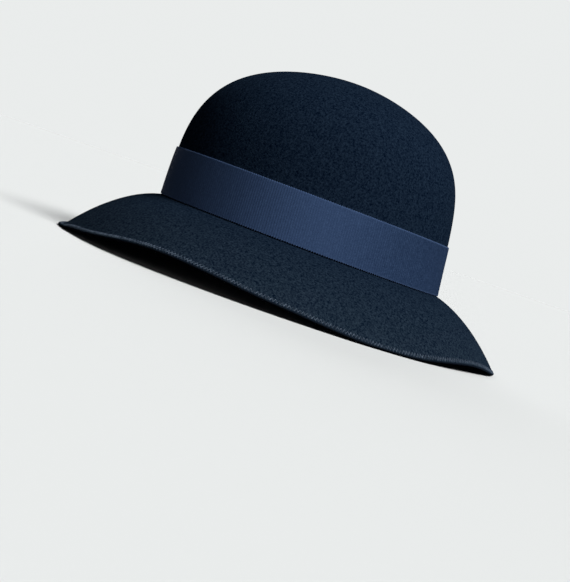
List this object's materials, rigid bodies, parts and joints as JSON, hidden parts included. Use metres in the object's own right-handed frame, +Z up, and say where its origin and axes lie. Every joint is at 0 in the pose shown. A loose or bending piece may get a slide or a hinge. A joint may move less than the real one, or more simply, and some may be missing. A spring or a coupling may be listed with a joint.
{
  "type": "felt fedora",
  "caption": "Navy felt fedora with a round dome crown, a wide ribbon band and a drooping brim with a stitched edge, at rest on its brim.",
  "frame": {"origin": "middle of the footprint, on the surface that the brim rests on", "axes": "+Z up, -Y to the front of the hat, +X to the wearer's left"},
  "size_m": [0.2806, 0.3112, 0.1539],
  "materials": {
    "navy_felt": "dense short-napped felt, matt, very dark navy",
    "navy_ribbon": "ribbed grosgrain ribbon with a soft sheen, navy"
  },
  "bodies": {
    "root": {"felt_body": "navy_felt", "hat_band": "navy_ribbon"}
  },
  "joints": []
}
